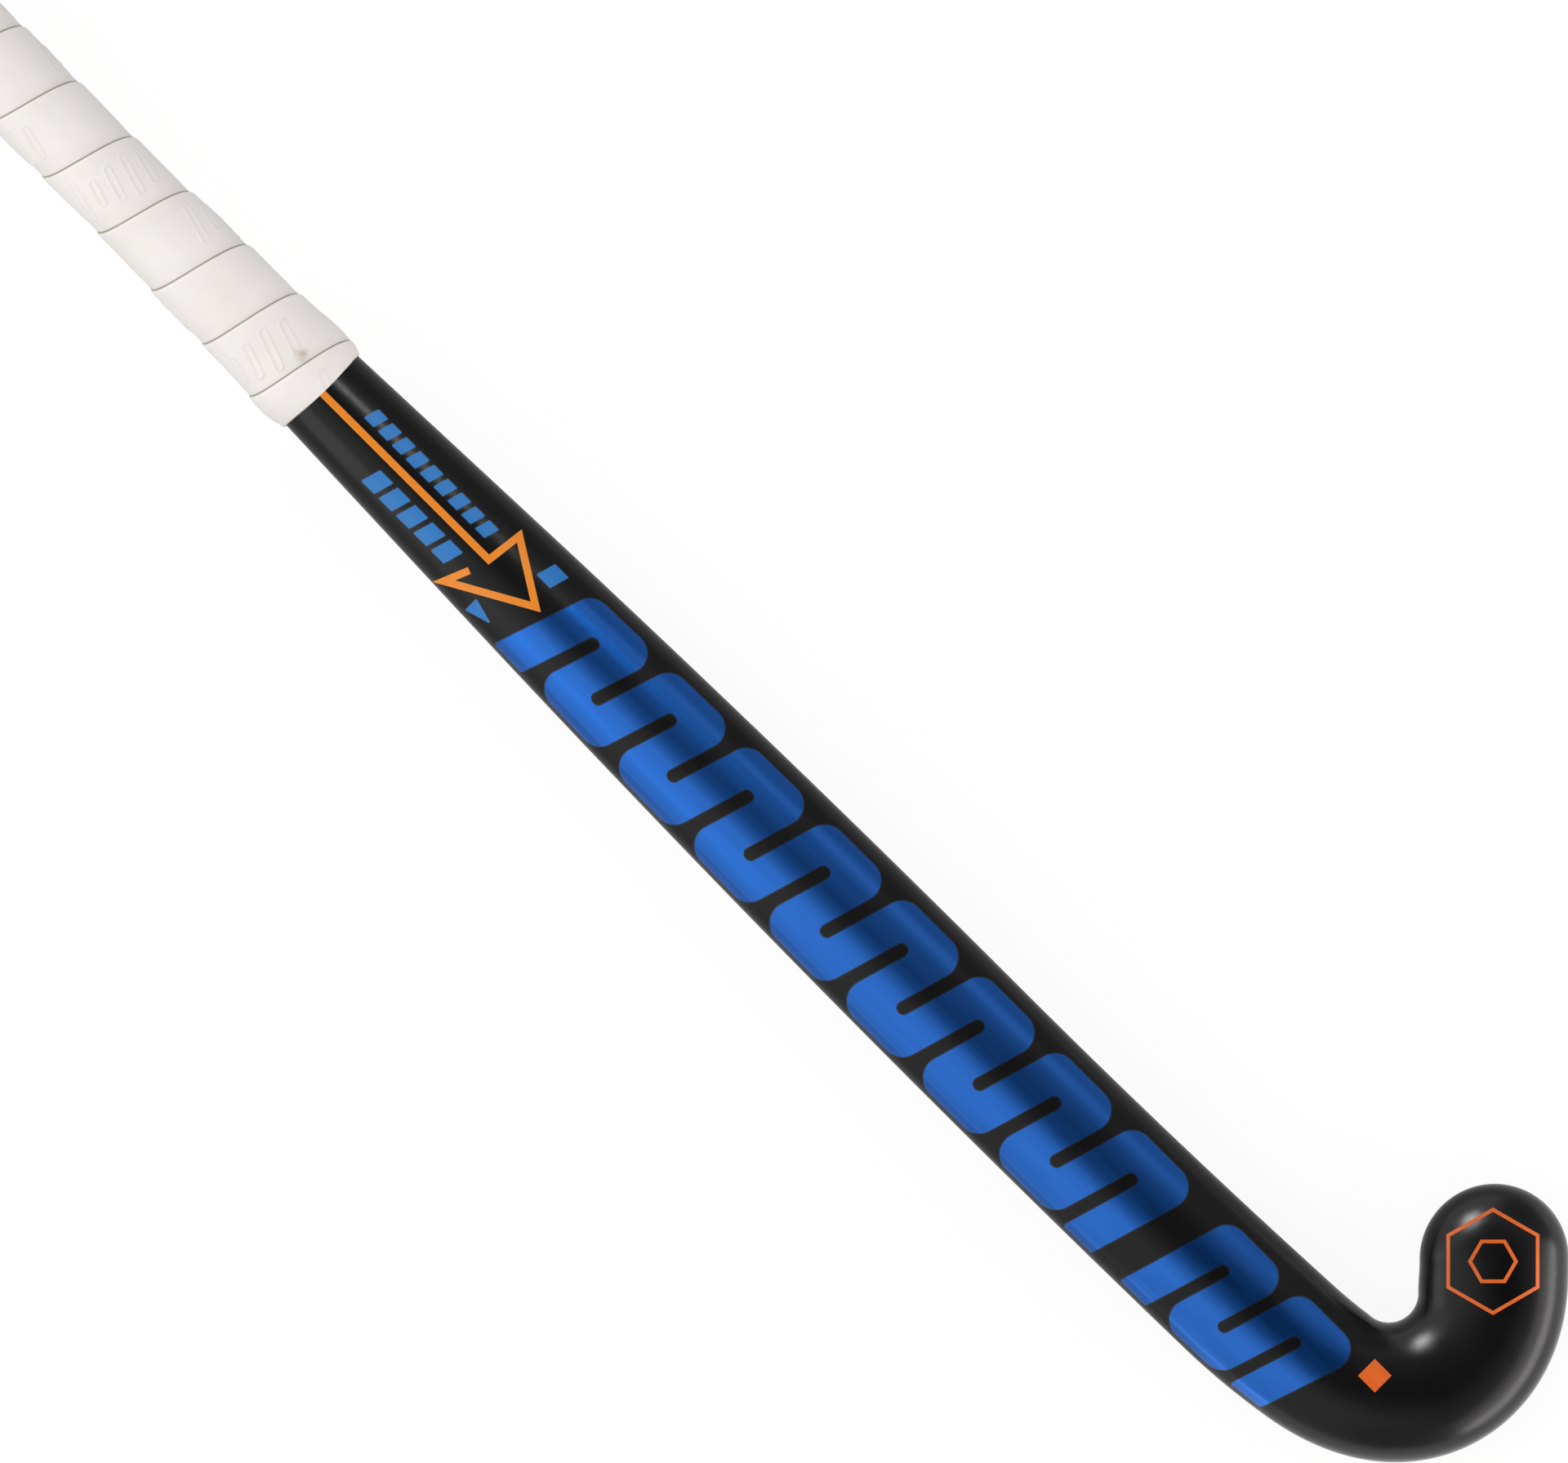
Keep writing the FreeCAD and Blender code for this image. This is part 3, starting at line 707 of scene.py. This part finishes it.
def rounded(corners):
    """A closed outline from corners (x, y, radius), with each corner rounded by an arc."""
    outline = []
    count = len(corners)
    for k, (x, y, radius) in enumerate(corners):
        here = np.array([x, y], float)
        before = np.array(corners[k - 1][:2], float) - here
        after = np.array(corners[(k + 1) % count][:2], float) - here
        before /= np.linalg.norm(before)
        after /= np.linalg.norm(after)
        half = 0.5 * math.acos(float(np.clip(before @ after, -1, 1)))
        cut = radius / math.tan(half)
        centre = here + (before + after) / np.linalg.norm(before + after) * radius / math.sin(half)
        first, last = here + before * cut - centre, here + after * cut - centre
        a0, a1 = math.atan2(first[1], first[0]), math.atan2(last[1], last[0])
        turn = (a1 - a0 + math.pi) % (2 * math.pi) - math.pi
        steps = max(4, int(abs(turn) * radius / 0.3))
        for j in range(steps + 1):
            angle = a0 + turn * j / steps
            outline.append(centre + radius * np.array([math.cos(angle), math.sin(angle)]))
    return np.array(outline)


def stroke(path, width, closed=False):
    """Outline of a line of even width with sharp mitred corners; two loops when closed."""
    path = np.array(path, float)
    count = len(path)
    sides = {1: [], -1: []}
    for k, here in enumerate(path):
        before = path[k - 1] if closed or k > 0 else None
        after = path[(k + 1) % count] if closed or k < count - 1 else None
        normals = []
        for a, b in ((before, here), (here, after)):
            if a is not None and b is not None:
                step = (b - a) / np.linalg.norm(b - a)
                normals.append(np.array([-step[1], step[0]]))
        mitre = sum(normals)
        mitre = mitre / np.linalg.norm(mitre)
        mitre = mitre / max(float(mitre @ normals[0]), 0.25)
        for side in sides:
            sides[side].append(here + side * 0.5 * width * mitre)
    if closed:
        return [np.array(sides[1]), np.array(sides[-1])]
    return [np.array(sides[1] + sides[-1][::-1])]


def grow(loop, amount):
    """The same outline moved out by an amount, for the dark edge under a film."""
    following = np.roll(loop, -1, axis=0)
    step = following - np.roll(loop, 1, axis=0)
    step /= np.maximum(np.linalg.norm(step, axis=1, keepdims=True), 1e-9)
    normal = np.stack([step[:, 1], -step[:, 0]], -1)
    area = 0.5 * np.sum(loop[:, 0] * following[:, 1] - following[:, 0] * loop[:, 1])
    return loop + normal * amount * (1.0 if area > 0 else -1.0)


def resample(loop, step):
    """The same loop with points no further apart than a step."""
    found = []
    for here, there in zip(loop, np.roll(loop, -1, axis=0)):
        parts = max(1, int(math.ceil(np.linalg.norm(there - here) / step)))
        found += [here + (there - here) * j / parts for j in range(parts)]
    return np.array(found)


def inside(points, loops):
    """Even-odd test of points against loops."""
    odd = np.zeros(len(points), bool)
    px, py = points[:, 0][:, None], points[:, 1][:, None]
    for loop in loops:
        a, b = loop, np.roll(loop, -1, axis=0)
        crosses = (a[:, 1] > py) != (b[:, 1] > py)
        rise = np.where(np.abs(b[:, 1] - a[:, 1]) < 1e-12, 1e-12, b[:, 1] - a[:, 1])
        at = (b[:, 0] - a[:, 0]) * (py - a[:, 1]) / rise + a[:, 0]
        odd ^= (np.count_nonzero(crosses & (px < at), axis=1) % 2).astype(bool)
    return odd


def distance_to(points, border):
    """Distance from each point to the nearest border point, worked out in blocks to save memory."""
    near = np.full(len(points), 1e9)
    for start in range(0, len(border), 256):
        block = border[start:start + 256]
        gaps = np.hypot(points[:, None, 0] - block[None, :, 0], points[:, None, 1] - block[None, :, 1])
        near = np.minimum(near, gaps.min(1))
    return near


# ---------------------------------------------------------------- printed films on the back

FILM_SPACING = 1.5
SHAFT_REACH = 24.0  # a film that stays within this offset lies on the shaft
EVEN_GIRTH = 23.0 * np.sin(np.arange(-1.54, 1.55, 0.05))  # offsets that are evenly spaced round the back
SKIRT = 0.05
INK_LIFT, EDGE_LIFT, BLUE_LIFT = 0.07, 0.05, 0.09


def film_triangles(loops):
    """Plan points and triangles that fill the loops."""
    border = np.concatenate(loops)
    low, high = border.min(0), border.max(0)
    xs = np.arange(low[0], high[0], FILM_SPACING)
    if high[1] < SHAFT_REACH:
        ys = EVEN_GIRTH[(EVEN_GIRTH > low[1]) & (EVEN_GIRTH < high[1])]
    else:
        ys = np.arange(low[1], high[1], 0.866 * FILM_SPACING)
    grid = np.array([(x + 0.5 * FILM_SPACING * (j % 2), y) for j, y in enumerate(ys) for x in xs])
    grid = grid[inside(grid, loops)]
    grid = grid[distance_to(grid, border) > 0.3 * FILM_SPACING]
    edge_list, start = [], 0
    for loop in loops:
        count = len(loop)
        edge_list += [(start + k, start + (k + 1) % count) for k in range(count)]
        start += count
    vertices = [Vector(point) for point in np.concatenate([border, grid])]
    flat, _, triangles, _, _, _ = delaunay_2d_cdt(vertices, edge_list, [], 0, 1e-6)
    flat = np.array([tuple(point) for point in flat])
    triangles = np.array([each for each in triangles if len(each) == 3])
    triangles = triangles[inside(flat[triangles].mean(1), loops)]
    corner = flat[triangles]
    area = np.cross(corner[:, 1] - corner[:, 0], corner[:, 2] - corner[:, 0])
    triangles = np.where((area < 0)[:, None], triangles[:, ::-1], triangles)
    return flat, triangles[np.abs(area) > 1e-7]


def film(name, loops, lift, mat, edge_step=0.5):
    """A thin printed film on the back, from loops in plan coordinates."""
    loops = [resample(np.asarray(loop, float), edge_step) for loop in loops]
    flat, triangles = film_triangles(loops)
    points, normals = on_back(flat[:, 0], flat[:, 1], lift)
    # a short skirt down into the lacquer closes the film's edge
    sides = dict.fromkeys(edge for a, b, c in triangles for edge in ((a, b), (b, c), (c, a)))
    rim = [edge for edge in sides if (edge[1], edge[0]) not in sides]
    rim_points = sorted({k for edge in rim for k in edge})
    lower = {k: len(points) + j for j, k in enumerate(rim_points)}
    skirt = points[rim_points] - normals[rim_points] * (lift + SKIRT)
    faces = [tuple(each) for each in triangles] + [(b, a, lower[a], lower[b]) for a, b in rim]
    return add_mesh(name, np.concatenate([points, skirt]), faces, mat,
                    normals=np.concatenate([normals, normals[rim_points]]))


SLANT = 0.287  # how far an outline leans to the head for each mm towards the toe side
REACH = {1: 17.9, -1: -21.6}  # how far the ribbon goes on the toe side (1) and the heel side (-1)
RIBBON = 11.2  # width of the ribbon where it turns
ROUND_CORNER, SHARP_CORNER = 7.0, 0.8


def meander(start, bars, gap):
    """Corners of one ribbon that runs back and forth across the stick, from the widths of its bars.

    Each bar joins the next one, by turns on the toe side and on the heel side.
    """
    lows = np.cumsum([start] + [width + gap for width in bars])
    paths = []
    for side in (1, -1):
        path = []
        for k, width in enumerate(bars):
            high = lows[k] + width
            joins_before = k > 0 and (-1) ** (k - 1) == side
            joins_after = k < len(bars) - 1 and (-1) ** k == side
            if not joins_before:
                path.append((lows[k], REACH[side], ROUND_CORNER if joins_after else SHARP_CORNER))
            if not joins_after:
                path.append((high, REACH[side], ROUND_CORNER if joins_before else SHARP_CORNER))
                if k < len(bars) - 1:
                    inner = REACH[-side] + side * RIBBON
                    path += [(high, inner, 0.46 * gap), (lows[k + 1], inner, 0.46 * gap)]
        paths.append(path)
    return [(x + SLANT * y, y, radius) for x, y, radius in paths[0] + paths[1][::-1]]


EDGE_MARGIN, FULL_ROOM = 0.7, 22.2


def fit(loop):
    """Draw the outline in so that it stays on the back where the stick is narrow."""
    heel, toe = edges(-loop[:, 0])
    heel_share = np.minimum((-heel - EDGE_MARGIN) / FULL_ROOM, 1.0)
    toe_share = np.minimum((toe - EDGE_MARGIN) / FULL_ROOM, 1.0)
    return np.stack([loop[:, 0], loop[:, 1] * np.where(loop[:, 1] < 0, heel_share, toe_share)], -1)


UPPER_BARS = [12.7, 12.3, 12.9, 12.2, 13.0, 12.7, 12.4, 12.8,
              12.9, 12.4, 12.7, 12.3, 12.9, 12.5, 12.8, 12.7]
LOWER_BARS = [11.6, 12.2, 11.6, 12.4]
RIBBONS = {
    "band_upper": meander(-400.5, UPPER_BARS, 4.8),
    "band_lower": meander(-113.5, LOWER_BARS, 4.4),
}
for name, corners in RIBBONS.items():
    outline = rounded(corners)
    film("film_edge_" + name, [fit(grow(outline, 0.42))], EDGE_LIFT, MAT["navy"])
    film("film_" + name, [fit(outline)], BLUE_LIFT, MAT["blue"])

# the orange line and its open arrowhead
ARROW = [(-504.0, -0.5), (-427.0, -0.5), (-425.5, 11.8), (-405.6, -0.6), (-432.4, -15.6), (-429.0, -7.4)]
ARROW_WIDTH = 2.4
film("film_line_arrow", stroke(ARROW, ARROW_WIDTH), INK_LIFT, MAT["amber"])


def row_of_bars(x, y, count, pitch, length, tall):
    """Slanted bars in a row along the stick. x is where the first one starts, y the row's middle."""
    row = []
    for start in [x + pitch * k for k in range(count)]:
        corners = [(start, -0.5), (start + length, -0.5), (start + length, 0.5), (start, 0.5)]
        row.append(rounded([(cx + SLANT * share * tall, y + share * tall, 0.35) for cx, share in corners]))
    return row


MARK_EDGE, MARK_STEP = 0.28, 0.4  # width of the dark edge, and of a step round the outline
MARKS = {
    "ticks_toe_side": row_of_bars(-487.0, 6.0, 9, 6.3, 4.4, 5.2),
    "blocks_heel_side": row_of_bars(-473.0, -8.2, 5, 7.9, 6.0, 6.8),
    "single": row_of_bars(-411.9, 10.2, 1, 6.2, 6.2, 6.6),
    "wedge": [rounded([(-421.0, -17.3, 0.3), (-421.0, -12.2, 0.3), (-411.8, -14.6, 0.3)])],
}
for name, loops in MARKS.items():
    film("film_edge_" + name, [grow(loop, MARK_EDGE) for loop in loops], EDGE_LIFT, MAT["navy"], MARK_STEP)
    film("film_" + name, loops, BLUE_LIFT, MAT["blue_ink"], MARK_STEP)


def polygon(centre, radius, sides, turn):
    angles = math.radians(turn) + 2 * math.pi * np.arange(sides) / sides
    return [(centre[0] + radius * math.cos(a), centre[1] + radius * math.sin(a)) for a in angles]


EMBLEM, DIAMOND = (-39.1, 68.2), (-40.0, 15.3)
EMBLEM_LINE = 1.15
for name, radius, turn in (("outer", 16.6, 15.0), ("inner", 7.4, 45.0)):
    hexagon = polygon(EMBLEM, radius, 6, turn)
    film("film_emblem_" + name, stroke(hexagon, EMBLEM_LINE, closed=True), INK_LIFT, MAT["orange"])
film("film_diamond", [polygon(DIAMOND, 5.4, 4, 45.0)], INK_LIFT, MAT["orange"])

# ---------------------------------------------------------------- materials of the CAD nodes that stay

NODE_LOOKS = {
    "end_cap": "cap",
    "butt_plug": "foam",
    "head_core": "foam",
    "face_reinforcement": "aramid",
    "chamber_tube_toe_side": "tube",
    "chamber_tube_heel_side": "tube",
}
for node, look in NODE_LOOKS.items():
    for each in frame["nodes"][node].material_slots:
        each.material = MAT[look]

# ---------------------------------------------------------------- floor and world, in metres

FLOOR_RADIUS, FLOOR_SIDES, FLOOR_DROP = 6.0, 96, 0.0002
FLOOR_SEEN = 0.89  # brightness to the camera; reflections see a dimmer floor, and black edges stay dark
WHITE = (1.0, 1.0, 1.0, 1.0)


def floor():
    """A pale round floor that glows evenly."""
    data = bpy.data.meshes.new("floor")
    angles = [2 * math.pi * k / FLOOR_SIDES for k in range(FLOOR_SIDES)]
    ring = [(FLOOR_RADIUS * math.cos(a), FLOOR_RADIUS * math.sin(a), -FLOOR_DROP) for a in angles]
    data.from_pydata(ring, [], [tuple(range(FLOOR_SIDES))])
    made, g, shader = material("floor_white", Roughness=0.9, Specular_IOR_Level=0.1, Emission_Color=WHITE)
    g.feed(shader, "Base Color", g.tones(g.even_noise(3.0), (0.155,) * 3, (0.165,) * 3))
    camera_ray = g.node("ShaderNodeLightPath").outputs["Is Camera Ray"]
    place = g.node("ShaderNodeTexCoord").outputs["Object"]
    along = g.node("ShaderNodeSeparateXYZ", Vector=place).outputs[0]
    reflected = g.span(along, 0.42, 1.2, 0.38, 0.46)
    seen = g.math("MULTIPLY", camera_ray, g.math("SUBTRACT", FLOOR_SEEN, reflected))
    g.feed(shader, "Emission Strength", g.math("ADD", reflected, seen))
    data.materials.append(made)
    piece = bpy.data.objects.new("floor", data)
    bpy.context.scene.collection.objects.link(piece)


floor()

# brightness of the studio by its angle from straight up, in degrees towards the toe side
SHAFT_LEVELS = [(-90, 0.78), (-62, 0.88), (-40, 0.96), (-22, 0.90), (-13, 0.54), (-5, 0.26), (3, 0.18),
                (14, 0.22), (28, 0.28), (36, 0.40), (43, 0.62), (49, 0.55), (56, 0.32), (90, 0.36)]
HEAD_LEVELS = [(-90, 0.70), (-50, 0.80), (-27, 0.86), (-19, 0.68), (-9, 0.22), (0, 0.09),
               (14, 0.07), (20, 0.12), (30, 0.32), (45, 0.42), (90, 0.46)]
# the x of a direction where the studio starts and ends to change, and its brightness beyond
TOWARD_HEAD = (0.02, 0.27)
ENDS = [((0.50, 0.66), 0.45), ((-0.42, -0.60), 1.25)]


def world():
    """A plain studio that is lit from the heel side; the camera itself sees white."""
    made = bpy.data.worlds.new("studio")
    bpy.context.scene.world = made
    made.use_nodes = True
    g = Graph(made.node_tree)
    direction = g.node("ShaderNodeTexCoord").outputs["Generated"]
    x, y, z = g.node("ShaderNodeSeparateXYZ", Vector=direction).outputs
    degrees = g.math("MULTIPLY", g.math("ARCTAN2", y, z), 180.0 / math.pi)
    share = g.span(degrees, 0.0, 1.0, -90.0, 90.0)
    over_shaft, over_head = [g.ramp(share, [((angle + 90) / 180.0, (v, v, v)) for angle, v in levels])
                             for levels in (SHAFT_LEVELS, HEAD_LEVELS)]
    colour = g.mix(g.span(x, 0.0, 1.0, *TOWARD_HEAD), over_shaft, over_head)
    for reach, level in ENDS:
        colour = g.mix(g.span(x, 0.0, 1.0, *reach), colour, (level, level, level, 1.0))
    lit = g.node("ShaderNodeBackground", Color=colour, Strength=1.0)
    seen = g.node("ShaderNodeBackground", Color=WHITE, Strength=1.0)
    camera_ray = g.node("ShaderNodeLightPath").outputs["Is Camera Ray"]
    mix = g.node("ShaderNodeMixShader", i0=camera_ray, i1=lit.outputs[0], i2=seen.outputs[0])
    g.node("ShaderNodeOutputWorld", Surface=mix.outputs[0])


world()

# ---------------------------------------------------------------- lamps, in metres


def area(name, centre, target, size, radiance, colour=(1, 1, 1), spread=180.0):
    """A rectangular lamp, turned to its target and unseen by the camera. The spread is in degrees."""
    lamp = bpy.data.lights.new(name, "AREA")
    lamp.shape = "RECTANGLE"
    lamp.size, lamp.size_y = size
    lamp.color = colour
    lamp.spread = math.radians(spread)
    lamp.energy = radiance * math.pi * size[0] * size[1]
    hung = bpy.data.objects.new(name, lamp)
    aim = (Vector(target) - Vector(centre)).to_track_quat("-Z", "Y")
    hung.matrix_world = Matrix.Translation(centre) @ aim.to_matrix().to_4x4()
    hung.visible_camera = False
    bpy.context.scene.collection.objects.link(hung)
    return hung


def light_only(lamp_object, piece):
    """Let a lamp light one piece alone."""
    lit = bpy.data.collections.new("lit_by_" + lamp_object.name)
    lit.objects.link(piece)
    lamp_object.light_linking.receiver_collection = lit


area("softbox_grip_heel", (-0.19, -0.68, 0.42), (-0.09, -0.04, 0.03), (0.38, 0.50), 1.12)
grip_top = area("softbox_grip_top", (-0.75, -0.34, 1.03), (-0.09, -0.02, 0.03), (0.50, 0.50), 4.1)
light_only(grip_top, grip)
area("strip_grip_toe", (-0.075, 0.30, 0.62), (-0.04, 0.0, 0.03), (0.11, 0.09), 1.0, spread=50.0)
# a low strip and a fainter one over it make the soft band along the head's outer edge
HEAD_TINT = (1.0, 0.965, 0.985)
area("strip_head", (1.38, 0.36, 0.10), (0.45, 0.03, 0.03), (1.5, 0.32), 6.2, HEAD_TINT)
area("strip_head_upper", (1.38, 0.36, 0.40), (0.45, 0.03, 0.03), (1.5, 0.40), 1.9, HEAD_TINT)
throat = area("softbox_throat", (-0.40, 0.25, 0.86), (0.42, 0.0, 0.02), (0.60, 0.60), 0.62, spread=28.0)
light_only(throat, shell)

# ---------------------------------------------------------------- camera, straight above and far off

LENS, SENSOR, FRAME_WIDTH = 1200.0, 36.0, 0.5042
AIM, AIM_HEIGHT = (-320.8, 27.5, 0.0), 0.028


def stand_camera():
    data = bpy.data.cameras.new("camera")
    data.type = "PERSP"
    data.sensor_fit = "HORIZONTAL"
    data.sensor_width = SENSOR
    data.lens = LENS
    data.clip_start, data.clip_end = 0.1, 100.0
    made = bpy.data.objects.new("camera", data)
    aim = to_row(AIM)
    right, up, back = Vector((1, 1, 0)).normalized(), Vector((-1, 1, 0)).normalized(), Vector((0, 0, 1))
    turn = Matrix((right, up, back)).transposed().to_4x4()
    distance = FRAME_WIDTH * LENS / SENSOR
    made.matrix_world = Matrix.Translation((aim[0], aim[1], AIM_HEIGHT + distance)) @ turn
    bpy.context.scene.collection.objects.link(made)
    bpy.context.scene.camera = made


stand_camera()
bpy.context.scene.view_settings.view_transform = "Standard"
bpy.context.scene.view_settings.look = "None"
